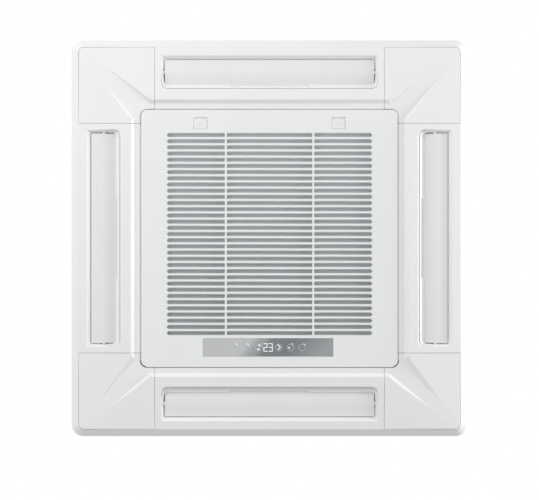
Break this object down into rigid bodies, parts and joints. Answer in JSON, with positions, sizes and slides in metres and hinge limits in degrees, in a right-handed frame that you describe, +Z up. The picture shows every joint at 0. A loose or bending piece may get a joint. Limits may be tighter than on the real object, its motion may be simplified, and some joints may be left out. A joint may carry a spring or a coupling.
{
  "type": "ceiling cassette air conditioner",
  "caption": "Square ceiling cassette air conditioner: flat panel with slotted inlet grille, air outlets with louvres, fan, coil and drain in a cabinet hung above the ceiling.",
  "frame": {"origin": "on the unit's vertical axis, in the plane of the ceiling's lower face", "axes": "+Z up towards the hanging rods; +Y towards the display side of the grille; +X to the right in the picture, where the latches are at the top and the panel is seen from below"},
  "size_m": [0.95, 0.95, 0.2823],
  "materials": {
    "white_panel": "satin white moulding",
    "white_louvre": "satin white moulding",
    "zinc_sheet": "galvanised sheet",
    "foam": "moulded foam",
    "coil_fins": "fin pack",
    "copper": "drawn tube",
    "brass": "machined",
    "black_plastic": "moulded",
    "gasket": "closed-cell strip",
    "fan_plastic": "moulded",
    "motor_steel": "satin",
    "board": "circuit board",
    "gauze": "woven mesh in a frame",
    "window": "mirror-tinted window"
  },
  "bodies": {
    "unit": {"panel_frame": "white_panel", "corner_cover_1": "white_panel", "corner_cover_2": "white_panel", "corner_cover_3": "white_panel", "corner_cover_4": "white_panel", "bell_mouth": "white_panel", "float_switch": "white_panel", "cabinet_shell": "zinc_sheet", "cabinet_top": "zinc_sheet", "suspension_lug_1": "zinc_sheet", "suspension_lug_2": "zinc_sheet", "suspension_lug_3": "zinc_sheet", "suspension_lug_4": "zinc_sheet", "coil_end_plate_1": "zinc_sheet", "coil_end_plate_2": "zinc_sheet", "partition_plate": "zinc_sheet", "pipe_seal_plate": "zinc_sheet", "motor_bracket": "zinc_sheet", "control_box": "zinc_sheet", "control_box_cover": "zinc_sheet", "panel_bolt_1": "zinc_sheet", "panel_bolt_2": "zinc_sheet", "panel_bolt_3": "zinc_sheet", "panel_bolt_4": "zinc_sheet", "cabinet_liner": "foam", "drain_pan": "foam", "heat_exchanger": "coil_fins", "gas_pipe": "copper", "liquid_pipe": "copper", "gas_flare_nut": "brass", "liquid_flare_nut": "brass", "drain_pump": "black_plastic", "drain_outlet": "black_plastic", "terminal_block": "black_plastic", "louvre_bush_1": "black_plastic", "louvre_bush_2": "black_plastic", "louvre_bush_3": "black_plastic", "louvre_bush_4": "black_plastic", "panel_gasket": "gasket", "fan_motor": "motor_steel", "louvre_motor_1": "motor_steel", "louvre_motor_2": "motor_steel", "louvre_motor_3": "motor_steel", "louvre_motor_4": "motor_steel", "control_board": "board"},
    "fan": {"motor_shaft": "motor_steel", "fan_wheel": "fan_plastic", "fan_shroud": "fan_plastic", "fan_nut": "zinc_sheet"},
    "grille": {"inlet_grille": "white_panel", "air_filter": "gauze", "display_window": "window", "display_board": "board"},
    "latch_left": {"latch_button_left": "white_panel"},
    "latch_right": {"latch_button_right": "white_panel"},
    "louvre_a": {"louvre_1": "white_louvre"},
    "louvre_b": {"louvre_2": "white_louvre"},
    "louvre_c": {"louvre_3": "white_louvre"},
    "louvre_d": {"louvre_4": "white_louvre"}
  },
  "joints": [
    {"name": "fan_spin", "type": "hinge", "parent": "unit", "child": "fan", "pos_m": [0, 0, 0.17], "axis": [0, 0, 1], "continuous": true},
    {"name": "grille_hinge", "type": "hinge", "parent": "unit", "child": "grille", "pos_m": [0, 0.296, -0.02], "axis": [1, 0, 0], "range_deg": [0, 90]},
    {"name": "latch_left_slide", "type": "slide", "parent": "grille", "child": "latch_left", "axis": [0, -1, 0], "range_m": [0, 0.003], "stiffness_N_per_m": 200},
    {"name": "latch_right_slide", "type": "slide", "parent": "grille", "child": "latch_right", "axis": [0, -1, 0], "range_m": [0, 0.003], "stiffness_N_per_m": 200},
    {"name": "louvre_a_swing", "type": "hinge", "parent": "unit", "child": "louvre_a", "pos_m": [0.396, 0, -0.0155], "axis": [0, 1, 0], "range_deg": [0, 70]},
    {"name": "louvre_b_swing", "type": "hinge", "parent": "unit", "child": "louvre_b", "pos_m": [0, 0.396, -0.0155], "axis": [-1, 0, 0], "range_deg": [0, 70]},
    {"name": "louvre_c_swing", "type": "hinge", "parent": "unit", "child": "louvre_c", "pos_m": [-0.396, 0, -0.0155], "axis": [0, -1, 0], "range_deg": [0, 70]},
    {"name": "louvre_d_swing", "type": "hinge", "parent": "unit", "child": "louvre_d", "pos_m": [0, -0.396, -0.0155], "axis": [1, 0, 0], "range_deg": [0, 70]}
  ]
}
